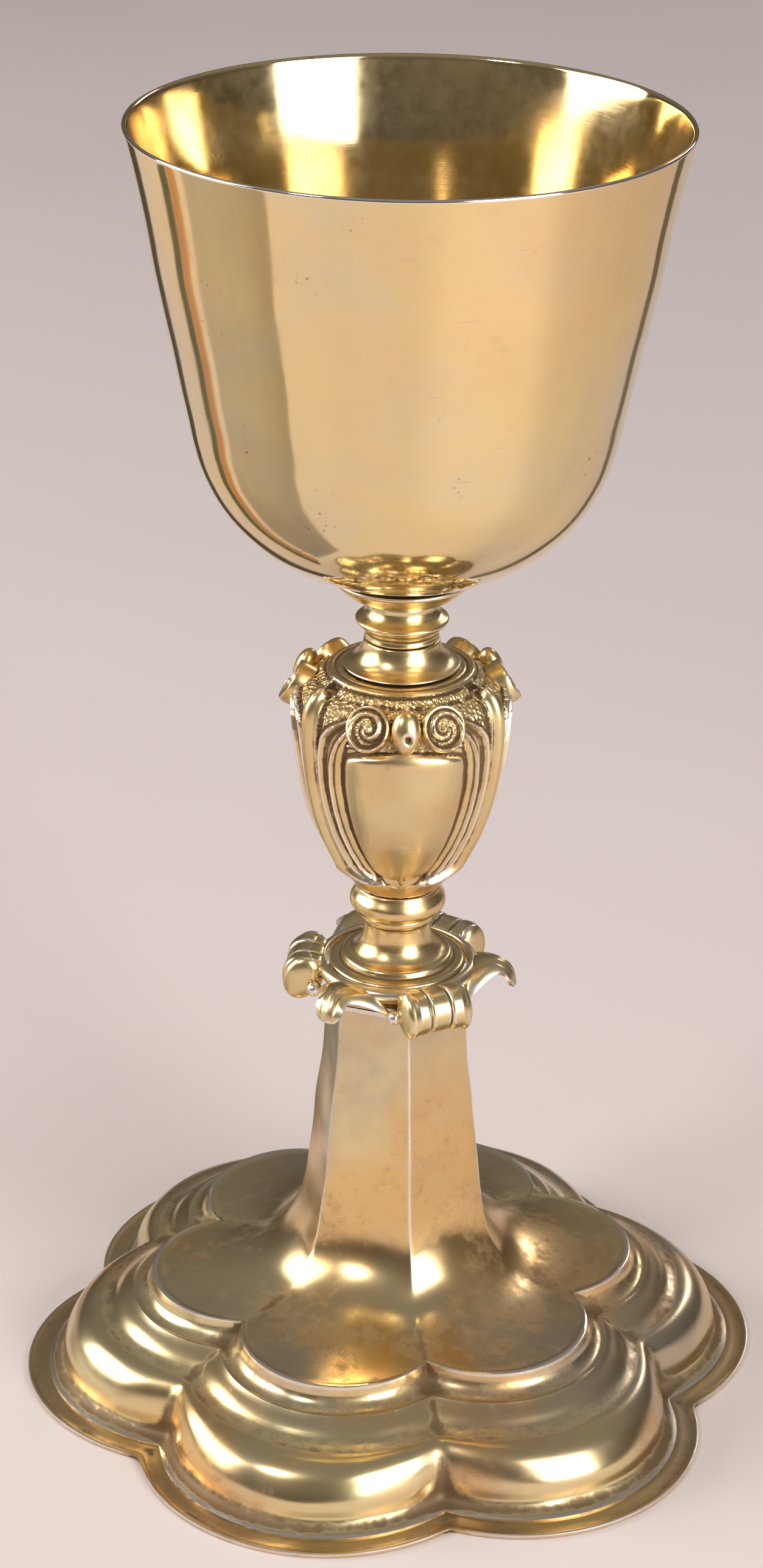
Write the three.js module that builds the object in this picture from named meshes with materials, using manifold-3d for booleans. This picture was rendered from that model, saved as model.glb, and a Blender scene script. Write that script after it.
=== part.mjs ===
// A silver-gilt altar cup that comes apart: a raised bowl with a tie rod soldered under it, a stack of
// turned and cast pieces threaded on the rod, and a six-lobed raised foot with a hexagonal stem, where
// a washer and nut inside the stem draw the whole stack together.
// Units are millimetres, +Z is up. The origin is the centre of the foot on the surface it stands on.
// A lobe points along +X, and the cusps between lobes lie at 30 degrees to it.

import * as THREE from "three";
import { ParametricGeometry } from "three/addons/geometries/ParametricGeometry.js";
import { mergeVertices } from "three/addons/utils/BufferGeometryUtils.js";
import Module from "manifold-3d";

// Driving dimensions
const SHEET = 1.0; // raised silver sheet of the bowl and the foot
const GAP = 0.3; // clearance between pieces that touch
const ROD_CLEARANCE = 0.35; // round the tie rod in every bore

const RIM_Z = 236.5;
const RIM_R = 47;
const BOWL_BASE_Z = 156.2;

const SAUCER_R = 12.4;
const SAUCER_BASE_Z = 153.0;
const ROD_R = 3;
const ROD_END_Z = 62;
const BORE_R = ROD_R + ROD_CLEARANCE;

const COLLAR_BASE_Z = 146.0;
const SPOOL_BASE_Z = 140.9;
const KNOP_TOP_Z = 140.5;
const KNOP_BASE_Z = 98.6;
const LOWER_RING_BASE_Z = 93.4;
const STEM_TOP_Z = 77.6;
const PLATE_THICK = 1.2;
const PLATE_TOP_Z = STEM_TOP_Z + GAP + PLATE_THICK;

const FLANGE_THICK = 1.0;
const FLANGE = { centre: 34.6, arc: 34.2 };
const FLANGE_HOLE = { centre: 33.5, arc: 25 };

const WASHER_R = 8;
const WASHER_THICK = 1.5;
const NUT_ACROSS_FLATS = 11;
const NUT_THICK = 5;

const LOBES = 6;
const LOBE_STEP = (2 * Math.PI) / LOBES;
const CROWN_TURN = THREE.MathUtils.degToRad(-75); // where the first scroll of the crown points
const KNOP_TURN = THREE.MathUtils.degToRad(-97); // where the first cartouche of the knop points

const wasm = await Module();
wasm.setup();

// Finishes
const gilt = () => new THREE.MeshStandardMaterial({ color: 0xc9a75e, metalness: 1, roughness: 0.28 });
const castGilt = () => new THREE.MeshStandardMaterial({ color: 0xb88d3f, metalness: 1, roughness: 0.36 });
const footGilt = () => new THREE.MeshStandardMaterial({ color: 0xb7a269, metalness: 1, roughness: 0.32 });
const brass = () => new THREE.MeshStandardMaterial({ color: 0xa98545, metalness: 1, roughness: 0.45 });

function named(name, geometry, material) {
  const mesh = new THREE.Mesh(geometry, material);
  mesh.name = name;
  return mesh;
}

// A closed outline of [radius, height] pairs, counterclockwise with the axis on its left, turned about Z.
function turned(outline, segments = 36) {
  const points = outline.concat([outline[0]]).map(([r, z]) => new THREE.Vector2(r, z));
  return new THREE.LatheGeometry(points, segments).rotateX(Math.PI / 2);
}

// Points of a smooth curve through the given [radius, height] pairs.
function smooth(pairs, count) {
  const curve = new THREE.SplineCurve(pairs.map(([r, z]) => new THREE.Vector2(r, z)));
  return curve.getPoints(count).map((p) => [p.x, p.y]);
}

// Solids and geometries to and from manifold-3d, for the pieces that are joined or cut.
function toSolid(geometry) {
  const bare = geometry.clone();
  bare.deleteAttribute("normal");
  bare.deleteAttribute("uv");
  const merged = mergeVertices(bare, 1e-4);
  const vertProperties = new Float32Array(merged.attributes.position.array);
  const triVerts = new Uint32Array(merged.index.array);
  return new wasm.Manifold(new wasm.Mesh({ numProp: 3, vertProperties, triVerts }));
}

function toGeometry(solid) {
  const mesh = solid.getMesh();
  const geometry = new THREE.BufferGeometry();
  geometry.setAttribute("position", new THREE.BufferAttribute(mesh.vertProperties, 3));
  geometry.setIndex(new THREE.BufferAttribute(mesh.triVerts, 1));
  geometry.computeVertexNormals();
  return geometry;
}

// Distance from the axis to a six-lobed outline. Each lobe is an arc of radius arc, struck from a point
// centre away from the axis, and angle is measured from the lobe's own centre line.
function lobeRadius({ centre, arc }, angle) {
  const across = centre * Math.sin(angle);
  return centre * Math.cos(angle) + Math.sqrt(arc * arc - across * across);
}

// Distance from the axis to a hexagon whose flats face the lobes.
function hexRadius(corner, angle) {
  return (corner * Math.cos(LOBE_STEP / 2)) / Math.cos(angle);
}

function angleInLobe(turn) {
  return turn - Math.round(turn / LOBE_STEP) * LOBE_STEP;
}

// The outer face of the foot, from the top of the stem down to the flange. Each station is a height, the
// corner radius of the hexagon, the lobe outline, and how far the section has turned from one to the other.
const PLATFORM = { centre: 27, arc: 18.2 };
const stem = (z, corner, lobed = 0) => ({ z, corner, lobe: PLATFORM, lobed });
const moulding = (z, centre, arc) => ({ z, corner: 0, lobe: { centre, arc }, lobed: 1 });
const FOOT_STATIONS = [
  stem(STEM_TOP_Z, 13.2),
  stem(67, 13.8),
  stem(51, 15.7),
  stem(38, 16.9),
  stem(30, 17.8),
  stem(26, 18.8),
  stem(23, 19.4, 0.1),
  stem(21.2, 19.4, 0.24),
  stem(20.2, 19.4, 0.42),
  stem(19.7, 19.4, 0.66),
  moulding(19.6, 27, 18.2),
  moulding(17.6, 26.8, 18.9),
  moulding(16.2, 26.7, 20.7),
  moulding(15.7, 26.6, 22.5),
  moulding(14.6, 26.4, 24.6),
  moulding(13.2, 26.1, 26.4),
  moulding(12.6, 26.0, 28.3),
  moulding(12.2, 28.8, 28.9),
  moulding(10.2, 31.2, 28.7),
  moulding(7.2, 33.0, 28.3),
  moulding(3.6, 34.2, 27.9),
  moulding(2.2, 34.4, 28.6),
  moulding(FLANGE_THICK + GAP, 34.5, 30.2),
];

function stationRadius(station, angle) {
  const hex = hexRadius(station.corner, angle);
  return THREE.MathUtils.lerp(hex, lobeRadius(station.lobe, angle), station.lobed);
}

// How far the sheet's inner face lies inside the outer one at a station, radially and vertically.
function sheetOffset(stations, i) {
  const above = stations[Math.max(i - 1, 0)];
  const below = stations[Math.min(i + 1, stations.length - 1)];
  const run = stationRadius(below, 0) - stationRadius(above, 0);
  const drop = above.z - below.z;
  const length = Math.hypot(run, drop);
  return { inward: (SHEET * drop) / length, down: (SHEET * run) / length };
}

function innerPoint(stations, i, angle) {
  const { inward, down } = sheetOffset(stations, i);
  const atEnd = i === 0 || i === stations.length - 1;
  const z = atEnd ? stations[i].z : stations[i].z - down;
  const inset = atEnd ? SHEET : inward;
  return { r: stationRadius(stations[i], angle) - inset, z };
}

function footShell() {
  const count = FOOT_STATIONS.length;
  const loop = 2 * count;
  const place = (u, v, target) => {
    const step = Math.round(v * loop) % loop;
    const turn = u * 2 * Math.PI + LOBE_STEP / 2;
    const angle = angleInLobe(turn);
    const outer = step >= count;
    const i = outer ? loop - 1 - step : step;
    const point = outer
      ? { r: stationRadius(FOOT_STATIONS[i], angle), z: FOOT_STATIONS[i].z }
      : innerPoint(FOOT_STATIONS, i, angle);
    target.set(point.r * Math.cos(turn), point.r * Math.sin(turn), point.z);
  };
  return named("foot_shell", new ParametricGeometry(place, LOBES * 6, loop), footGilt());
}

// A closed six-lobed outline, drawn as one arc for each lobe.
function lobedPath(path, { centre, arc }) {
  const cusp = lobeRadius({ centre, arc }, LOBE_STEP / 2);
  const half = Math.atan2(cusp * Math.sin(LOBE_STEP / 2), cusp * Math.cos(LOBE_STEP / 2) - centre);
  for (let lobe = 0; lobe < LOBES; lobe++) {
    const turn = lobe * LOBE_STEP;
    path.absarc(centre * Math.cos(turn), centre * Math.sin(turn), arc, turn - half, turn + half);
  }
  return path;
}

function footFlange() {
  const plate = lobedPath(new THREE.Shape(), FLANGE);
  plate.holes.push(lobedPath(new THREE.Path(), FLANGE_HOLE));
  const options = { depth: FLANGE_THICK, bevelEnabled: false, curveSegments: 8 };
  return named("foot_flange", new THREE.ExtrudeGeometry(plate, options), footGilt());
}

// A flat plate with straight sides and a round hole, such as the stem's cover or the nut.
function boredPrism(corner, turn, hole, thick, z) {
  const outline = new THREE.Shape();
  for (let i = 0; i < 6; i++) {
    const a = turn + (i * Math.PI) / 3;
    const draw = i ? "lineTo" : "moveTo";
    outline[draw](corner * Math.cos(a), corner * Math.sin(a));
  }
  outline.closePath();
  outline.holes.push(new THREE.Path().absarc(0, 0, hole, 0, 2 * Math.PI));
  const options = { depth: thick, bevelEnabled: false, curveSegments: 32 };
  return new THREE.ExtrudeGeometry(outline, options).translate(0, 0, z);
}

function stemPlate() {
  const corner = FOOT_STATIONS[0].corner + 0.4;
  const geometry = boredPrism(corner, LOBE_STEP / 2, BORE_R, PLATE_THICK, STEM_TOP_Z + GAP);
  return named("stem_plate", geometry, footGilt());
}

function washer() {
  const top = STEM_TOP_Z - GAP;
  const base = top - WASHER_THICK;
  const outline = [[BORE_R, base], [WASHER_R, base], [WASHER_R, top], [BORE_R, top]];
  return named("washer", turned(outline, 32), brass());
}

function nut() {
  const z = STEM_TOP_Z - GAP - WASHER_THICK - GAP - NUT_THICK;
  const corner = NUT_ACROSS_FLATS / Math.sqrt(3);
  return named("nut", boredPrism(corner, 0, BORE_R, NUT_THICK, z), brass());
}

// The ring of cast ornament on the stem: three rolled scrolls and three drooping leaves on a plain band.
const CROWN = { inner: 12.8, band: 14.2, seat: 14.3, low: PLATE_TOP_Z + GAP, high: 83.4 };
const SCROLL = { reach: 16.6, height: 80.3, radius: 3.6, length: 11.4, ball: 1.3 };

function scroll(turn) {
  const { reach, height, radius, length, ball } = SCROLL;
  const roll = new THREE.CylinderGeometry(radius, radius, length, 16).translate(reach, 0, 0);
  let solid = toSolid(roll);
  for (const side of [-1, 1]) {
    const disc = new THREE.CylinderGeometry(radius + 0.5, radius + 0.5, 1.2, 16);
    const bead = new THREE.SphereGeometry(ball, 10, 6);
    disc.translate(reach, side * (length / 2), 0);
    bead.translate(reach + 0.8, side * (length / 2 + 0.8), -1.4);
    solid = solid.add(toSolid(disc)).add(toSolid(bead));
  }
  return solid.rotate([0, 0, THREE.MathUtils.radToDeg(turn)]).translate([0, 0, height]);
}

function leaf(turn) {
  const side = new THREE.Shape();
  side.moveTo(13.2, 80.2);
  side.splineThru([[15.4, 82.6], [18.0, 83.7], [20.4, 82.6], [22.0, 79.2]].map((p) => new THREE.Vector2(...p)));
  side.splineThru([[20.2, 80.9], [18.0, 82.3], [15.6, 81.0], [13.2, 78.9]].map((p) => new THREE.Vector2(...p)));
  side.closePath();
  const blade = new THREE.ExtrudeGeometry(side, { depth: 11, bevelEnabled: false, curveSegments: 5 });
  blade.translate(0, 0, -5.5).rotateX(Math.PI / 2);
  const plan = new THREE.Shape();
  plan.moveTo(12.9, -5.2);
  plan.quadraticCurveTo(19.5, -5.4, 22.2, 0);
  plan.quadraticCurveTo(19.5, 5.4, 12.9, 5.2);
  plan.closePath();
  const outline = new THREE.ExtrudeGeometry(plan, { depth: 12, bevelEnabled: false, curveSegments: 8 });
  const solid = toSolid(blade).intersect(toSolid(outline.translate(0, 0, 75)));
  return solid.rotate([0, 0, THREE.MathUtils.radToDeg(turn)]);
}

function leafCrown() {
  const { inner, band, low, high, seat } = CROWN;
  let solid = toSolid(turned([[inner, low], [band, low], [band, high], [inner, high]]));
  for (let i = 0; i < 3; i++) {
    const turn = CROWN_TURN + (i * 2 * Math.PI) / 3;
    solid = solid.add(scroll(turn)).add(leaf(turn + Math.PI / 3));
  }
  const clear = turned([[0, low - 9], [inner, low - 9], [inner, high + 9], [0, high + 9]]);
  const below = turned([[0, low - 9], [seat, low - 9], [seat, low], [0, low]]);
  solid = solid.subtract(toSolid(clear)).subtract(toSolid(below));
  return named("leaf_crown", toGeometry(solid), castGilt());
}

// The turned pieces, from the crown upwards. Each is a ring with a clear bore for the tie rod.
function lowerSpool() {
  const base = PLATE_TOP_Z + GAP;
  const outline = [
    [BORE_R, base], [9.2, base], [9.2, 82.2], [12.2, 82.2], [12.2, 83.6], [9.8, 83.8], [9.4, 85.0],
    ...smooth([[9.0, 85.2], [7.2, 86.2], [6.1, 88.2], [5.9, 90.6]], 6),
    [6.5, 91.6], [6.5, 93.1], [BORE_R, 93.1],
  ];
  return named("lower_spool", turned(outline), castGilt());
}

function lowerRing() {
  const base = LOWER_RING_BASE_Z;
  const outline = [
    [BORE_R, base], [7.4, base],
    ...smooth([[7.4, base], [8.5, base + 1.4], [8.6, base + 2.6], [8.0, base + 3.6]], 6).slice(1),
    [7.4, base + 4.1], [7.4, KNOP_BASE_Z - GAP], [BORE_R, KNOP_BASE_Z - GAP],
  ];
  return named("lower_ring", turned(outline), castGilt());
}

// The knop: a cast hollow vase. Its three cartouches are shallow swellings of the section.
const KNOP_PROFILE = [
  [7.6, KNOP_BASE_Z], [9.7, 101.6], [13.2, 107.4], [16.0, 113.8], [18.0, 120.6],
  [19.0, 127.6], [19.3, 133.0], [18.6, 136.4], [16.4, 138.4], [12.8, 139.5],
];
const KNOP_WALL = 1.8;

function knopSwell(turn, height) {
  const low = THREE.MathUtils.smoothstep(height, KNOP_BASE_Z, 112);
  const top = 1 - THREE.MathUtils.smoothstep(height, 134, KNOP_TOP_Z);
  return 0.45 * Math.cos(3 * (turn - KNOP_TURN)) * low * top;
}

function knop() {
  const outer = smooth(KNOP_PROFILE, 14);
  const inner = outer.map(([r, z]) => [Math.max(r - KNOP_WALL, BORE_R + 0.6), z]).reverse();
  const loop = [
    [BORE_R, KNOP_BASE_Z], ...outer, [12.6, KNOP_TOP_Z], [BORE_R, KNOP_TOP_Z], [BORE_R, 138.0],
    ...inner.filter(([, z]) => z < 137.4 && z > KNOP_BASE_Z + 1.4), [BORE_R, KNOP_BASE_Z + 1.4],
  ];
  const place = (u, v, target) => {
    const [r, z] = loop[Math.round(v * loop.length) % loop.length];
    const turn = u * 2 * Math.PI;
    const radius = r > BORE_R + 4 ? r + knopSwell(turn, z) : r;
    target.set(radius * Math.cos(turn), radius * Math.sin(turn), z);
  };
  return named("knop", new ParametricGeometry(place, 36, loop.length), castGilt());
}

function upperSpool() {
  const top = COLLAR_BASE_Z - GAP;
  const outline = [
    [BORE_R, SPOOL_BASE_Z], [10.4, SPOOL_BASE_Z], [10.4, SPOOL_BASE_Z + 1.2],
    ...smooth([[9.6, 142.4], [7.8, 143.3], [6.6, 144.4], [6.1, top]], 6), [BORE_R, top],
  ];
  return named("upper_spool", turned(outline), castGilt());
}

function neckCollar() {
  const top = SAUCER_BASE_Z - GAP;
  const outline = [
    [BORE_R, COLLAR_BASE_Z], [6.4, COLLAR_BASE_Z], [6.4, COLLAR_BASE_Z + 0.9], [7.2, 147.9],
    [8.1, 149.0], [8.1, 149.8],
    ...smooth([[7.2, 150.4], [6.2, 151.0], [5.8, 152.0], [5.9, top]], 5), [BORE_R, top],
  ];
  return named("neck_collar", turned(outline), castGilt());
}

// The dished plate soldered under the bowl. Its upper face follows the bowl, and the rod is fixed in it.
function bowlSaucer() {
  const hole = ROD_R + GAP;
  const outline = [
    [hole, SAUCER_BASE_Z], [7.6, SAUCER_BASE_Z], [8.1, SAUCER_BASE_Z + 0.9], [9.2, 154.4],
    [11.4, 155.6], [SAUCER_R, 156.6], [SAUCER_R, 157.6], [8, 155.7], [hole, BOWL_BASE_Z - GAP - 0.5],
  ];
  return named("bowl_saucer", turned(outline), gilt());
}

function tieRod() {
  const top = BOWL_BASE_Z - GAP;
  const chamfer = 0.6;
  const points = [[0, ROD_END_Z], [ROD_R - chamfer, ROD_END_Z], [ROD_R, ROD_END_Z + chamfer], [ROD_R, top], [0, top]];
  const outline = points.map(([r, z]) => new THREE.Vector2(r, z));
  return named("tie_rod", new THREE.LatheGeometry(outline, 32).rotateX(Math.PI / 2), brass());
}

// The bowl, raised from one sheet: a rounded bottom, straight walls that open a little, and a plain rim.
function bowl() {
  const outside = smooth([
    [0, BOWL_BASE_Z], [12, 158.3], [22, 162.6], [29, 168.4], [33.5, 175.2], [36.2, 183.4], [38, 192],
    [40.9, 206], [43.5, 220], [45.8, 231], [RIM_R, RIM_Z],
  ], 15);
  const inside = outside.map(([r, z], i) => {
    const [r0, z0] = outside[Math.max(i - 1, 0)];
    const [r1, z1] = outside[Math.min(i + 1, outside.length - 1)];
    const length = Math.hypot(r1 - r0, z1 - z0);
    return [Math.max(r - (SHEET * (z1 - z0)) / length, 0), z + (SHEET * (r1 - r0)) / length];
  });
  inside[0] = [0, BOWL_BASE_Z + SHEET];
  inside[inside.length - 1] = [RIM_R - SHEET, RIM_Z];
  const points = [...outside, ...inside.reverse()].map(([r, z]) => new THREE.Vector2(r, z));
  return named("bowl", new THREE.LatheGeometry(points, 48).rotateX(Math.PI / 2), gilt());
}

const vessel = new THREE.Group();
const foot = new THREE.Group().add(footShell(), footFlange(), stemPlate(), leafCrown());
const fixing = new THREE.Group().add(washer(), nut());
const stack = new THREE.Group().add(lowerSpool(), lowerRing(), knop(), upperSpool(), neckCollar());
const cup = new THREE.Group().add(bowl(), bowlSaucer(), tieRod());
vessel.add(foot, fixing, stack, cup);

export default vessel;
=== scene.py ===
import math
import bmesh
import bpy
import numpy as np
from mathutils import Matrix, Vector, noise


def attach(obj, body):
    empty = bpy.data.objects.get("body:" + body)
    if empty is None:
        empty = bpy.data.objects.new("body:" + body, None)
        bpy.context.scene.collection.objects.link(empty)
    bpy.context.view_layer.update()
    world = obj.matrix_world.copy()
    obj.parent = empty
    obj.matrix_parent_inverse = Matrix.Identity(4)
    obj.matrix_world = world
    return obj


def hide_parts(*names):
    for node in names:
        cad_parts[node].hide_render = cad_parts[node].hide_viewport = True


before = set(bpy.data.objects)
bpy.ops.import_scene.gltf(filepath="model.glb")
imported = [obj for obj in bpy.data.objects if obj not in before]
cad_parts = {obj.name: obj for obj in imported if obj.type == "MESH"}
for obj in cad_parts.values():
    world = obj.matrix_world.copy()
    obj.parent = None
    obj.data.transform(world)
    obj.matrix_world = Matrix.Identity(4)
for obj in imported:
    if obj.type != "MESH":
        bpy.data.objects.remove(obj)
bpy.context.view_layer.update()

MM = 0.001
CAMERA_AZIMUTH = -100.5
CAMERA_DISTANCE, CAMERA_HEIGHT = 579.8 * MM, 386.5 * MM
CAMERA_PITCH, CAMERA_YAW, CAMERA_ROLL = 0.4344, 0.0055, 0.0136
CAMERA_LENS = 83.09

nodes_of = lambda holder: holder.node_tree.nodes


def node(tree, kind, inputs=None, **settings):
    """Adds a shader node; inputs maps a socket's name or number to a value or to another node's output."""
    made = tree.nodes.new(kind)
    for key, value in settings.items():
        setattr(made, key, value)
    for key, value in (inputs or {}).items():
        if isinstance(value, bpy.types.NodeSocket):
            tree.links.new(value, made.inputs[key])
        else:
            made.inputs[key].default_value = value
    return made


camera_turn = math.radians(CAMERA_AZIMUTH + 90)
camera = bpy.data.objects.new("camera", bpy.data.cameras.new("camera"))
camera.data.lens = CAMERA_LENS
camera.data.sensor_width = 36
camera.data.clip_start, camera.data.clip_end = 0.05, 30
camera.matrix_world = (
    Matrix.Rotation(camera_turn, 4, "Z")
    @ Matrix.Translation((0, -CAMERA_DISTANCE, CAMERA_HEIGHT))
    @ Matrix.Rotation(CAMERA_YAW, 4, "Z")
    @ Matrix.Rotation(math.pi / 2 - CAMERA_PITCH, 4, "X")
    @ Matrix.Rotation(CAMERA_ROLL, 4, "Z")
)
bpy.context.scene.collection.objects.link(camera)
bpy.context.scene.camera = camera


LIGHTS_AIM = Vector((0, 0, 0.1))


def soft_box(name, azimuth, elevation, distance, width, height, watts, colour):
    """A rectangular light; azimuth 0 is straight behind the camera and grows to the camera's right."""
    turn = camera_turn + math.radians(azimuth)
    lift = math.radians(elevation)
    place = Vector((math.sin(turn) * math.cos(lift), -math.cos(turn) * math.cos(lift), math.sin(lift)))
    lamp = bpy.data.lights.new(name, "AREA")
    lamp.shape, lamp.size, lamp.size_y = "RECTANGLE", width, height
    lamp.energy, lamp.color = watts, colour
    box = bpy.data.objects.new(name, lamp)
    box.location = LIGHTS_AIM + place * distance
    box.rotation_euler = (-place).to_track_quat("-Z", "Y").to_euler()
    box.visible_camera = False
    bpy.context.scene.collection.objects.link(box)


soft_box("left window", -93, 22, 1.5, 1.2, 0.8, 17, (1.0, 0.97, 0.95))
soft_box("front window", 42, 20, 1.5, 0.9, 0.95, 20, (1.0, 0.97, 0.94))
soft_box("overhead box", -45, 42, 1.5, 0.22, 0.22, 4, (1.0, 0.98, 0.96))
soft_box("back strip", 150, 24, 1.8, 0.18, 0.6, 2.2, (1.0, 0.93, 0.88))


def flag(name, first, last, near, far, colour):
    """A card flat on the table beyond the picture's edge, seen only as a reflection in the metal. The grey,
    green and dark cards are painted shade: shadowed patches of the table, put down only to darken the
    metal's reflections.
    """
    bm = bmesh.new()
    corners = []
    for angle, reach in ((first, near), (last, near), (last, far), (first, far)):
        turn = camera_turn + math.radians(angle)
        corners.append(bm.verts.new((math.sin(turn) * reach, -math.cos(turn) * reach, 0.002)))
    bm.faces.new(corners)
    bmesh.ops.subdivide_edges(bm, edges=bm.edges[:], cuts=8, use_grid_fill=True)
    bmesh.ops.recalc_face_normals(bm, faces=bm.faces)
    data = bpy.data.meshes.new(name)
    bm.to_mesh(data)
    bm.free()
    paint = bpy.data.materials.new(name)
    paint.use_nodes = True
    mottle = node(paint.node_tree, "ShaderNodeTexNoise", {"Scale": 14.0})
    tint = node(paint.node_tree, "ShaderNodeMix", {0: mottle.outputs["Fac"], 6: (*colour, 1),
                                                   7: (*[c * 0.7 for c in colour], 1)}, data_type="RGBA")
    paint.node_tree.links.new(tint.outputs[2], nodes_of(paint)["Principled BSDF"].inputs["Base Color"])
    data.materials.append(paint)
    card = bpy.data.objects.new(name, data)
    card.visible_camera = card.visible_diffuse = card.visible_shadow = False
    bpy.context.scene.collection.objects.link(card)


# Painted shade: the grey, green and dark cards stand in for shadowed patches of the table, seen only in the
# metal's reflections.
flag("left painted table shade", -61, -106, 0.085, 0.7, (0.42, 0.36, 0.31))
flag("orange flag", -111, -117, 0.085, 0.7, (0.62, 0.27, 0.07))
flag("green painted table shade", -117.5, -124, 0.085, 0.5, (0.10, 0.10, 0.05))
flag("dark left painted table shade", -146, -158, 0.085, 0.9, (0.10, 0.09, 0.06))
flag("dark right painted table shade", 138, 146, 0.085, 0.9, (0.16, 0.13, 0.09))
sun_patch = bpy.data.objects.new("table light", bpy.data.lights.new("table light", "SPOT"))
sun_patch.data.energy, sun_patch.data.spot_size, sun_patch.data.spot_blend = 4.5, math.radians(24), 0.5
sun_patch.data.shadow_soft_size = 0.04
sun_spot = Matrix.Rotation(camera_turn, 4, "Z") @ Vector((0.21, -0.25, 0))
sun_patch.location = sun_spot + Matrix.Rotation(camera_turn, 4, "Z") @ Vector((0.25, -0.2, 0.75))
sun_patch.rotation_euler = (sun_patch.location - sun_spot).to_track_quat("Z", "Y").to_euler()
bpy.context.scene.collection.objects.link(sun_patch)

room = bpy.data.worlds.new("room")
bpy.context.scene.world = room
room.use_nodes = True
room_tree = room.node_tree
room_way = node(room_tree, "ShaderNodeTexCoord").outputs["Generated"]
room_split = node(room_tree, "ShaderNodeSeparateXYZ", {0: room_way})
room_ramp = node(room_tree, "ShaderNodeValToRGB", {0: room_split.outputs["Z"]})
for stop, height, colour in zip(room_ramp.color_ramp.elements, (0.0, 0.75),
                                ((0.16, 0.12, 0.09, 1), (0.62, 0.59, 0.58, 1))):
    stop.position, stop.color = height, colour
room_tree.links.new(room_ramp.outputs[0], nodes_of(room)["Background"].inputs["Color"])
nodes_of(room)["Background"].inputs["Strength"].default_value = 0.4

TABLE_TOP = 3.0
table_mesh = bmesh.new()
bmesh.ops.create_grid(table_mesh, x_segments=2, y_segments=2, size=TABLE_TOP)
table_data = bpy.data.meshes.new("table_top")
table_mesh.to_mesh(table_data)
table = bpy.data.objects.new("table_top", table_data)
bpy.context.scene.collection.objects.link(table)
table_cloth = bpy.data.materials.new("pale table top")
table_cloth.use_nodes = True
cloth_tree = table_cloth.node_tree
cloth_place = node(cloth_tree, "ShaderNodeTexCoord").outputs["Object"]
cloth_cloud = node(cloth_tree, "ShaderNodeTexNoise", {"Vector": cloth_place, "Scale": 5.0, "Detail": 3.0})
cloth_tint = node(cloth_tree, "ShaderNodeMix", {0: cloth_cloud.outputs["Fac"], 6: (0.80, 0.70, 0.68, 1),
                                                7: (0.86, 0.775, 0.76, 1)}, data_type="RGBA")
cloth_tree.links.new(cloth_tint.outputs[2], nodes_of(table_cloth)["Principled BSDF"].inputs["Base Color"])
nodes_of(table_cloth)["Principled BSDF"].inputs["Roughness"].default_value = 0.85
table.data.materials.append(table_cloth)
bpy.context.scene.view_settings.view_transform = "Standard"

# The foot and stem: one raised sheet of silver about a millimetre thick, gilt all over. The hexagonal
# stem flares into a nearly flat six-lobed platform, then steps down through a hollow, a fine ridge and
# a fillet to a broad bulge. It is worn along its ridges and brown with old tarnish in its creases.
SIXTH = math.pi / 3
FOOT_STEPS = 384
SHEET = 1.0
BRIM, STEM_TOP = 1.2, 77.6


def curve_through(points, step):
    """Samples a smooth line through rows of numbers, `step` apart by the first two; None makes a corner."""
    runs, run = [], []
    for point in points:
        if point is None:
            runs.append(run)
            run = [run[-1]]
        else:
            run.append(tuple(float(n) for n in point))
    runs.append(run)
    line = []
    for run in runs:
        for i in range(len(run) - 1):
            a, b = run[i], run[i + 1]
            before = run[i - 1] if i else tuple(2 * p - q for p, q in zip(a, b))
            after = run[i + 2] if i + 2 < len(run) else tuple(2 * q - p for p, q in zip(a, b))
            length = math.hypot(b[0] - a[0], b[1] - a[1])
            into, out = (math.hypot(a[0] - before[0], a[1] - before[1]) or 1e-9,
                         math.hypot(after[0] - b[0], after[1] - b[1]) or 1e-9)
            pieces = max(1, round(length / step))
            for j in range(pieces):
                t = j / pieces
                point = []
                for p0, p1, p2, p3 in zip(before, a, b, after):
                    m1 = (p2 - p0) / (into + length) * length
                    m2 = (p3 - p1) / (out + length) * length
                    point.append((2 * t**3 - 3 * t**2 + 1) * p1 + (t**3 - 2 * t**2 + t) * m1
                                 + (3 * t**2 - 2 * t**3) * p2 + (t**3 - t**2) * m2)
                line.append(tuple(point))
    line.append(runs[-1][-1])
    return line


def softened(loop, times, closed=True):
    """Rounds a sampled outline's corners a little, as polishing does."""
    count = len(loop)
    for _ in range(times):
        fresh = []
        for i, point in enumerate(loop):
            if not closed and i in (0, count - 1):
                fresh.append(point)
                continue
            before, after = loop[i - 1], loop[(i + 1) % count]
            fresh.append(tuple((p + 2 * q + r) / 4 for p, q, r in zip(before, point, after)))
        loop = fresh
    return loop


def closed_outline(points, step, rounds):
    """A closed outline through the points, its corners rounded a little."""
    return softened(curve_through([*points, None, points[0]], step)[:-1], rounds)


def swept(bm, ring, axis, steps, closed=False, merge=1e-7):
    """Spins a line of vertices once round an axis through the origin and merges its seam and poles."""
    edges = [bm.edges.new(pair) for pair in zip(ring, ring[1:] + (ring[:1] if closed else []))]
    bmesh.ops.spin(bm, geom=ring + edges, axis=axis, cent=(0, 0, 0), angle=2 * math.pi, steps=steps,
                   use_merge=True)
    bmesh.ops.remove_doubles(bm, verts=bm.verts, dist=merge)


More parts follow.
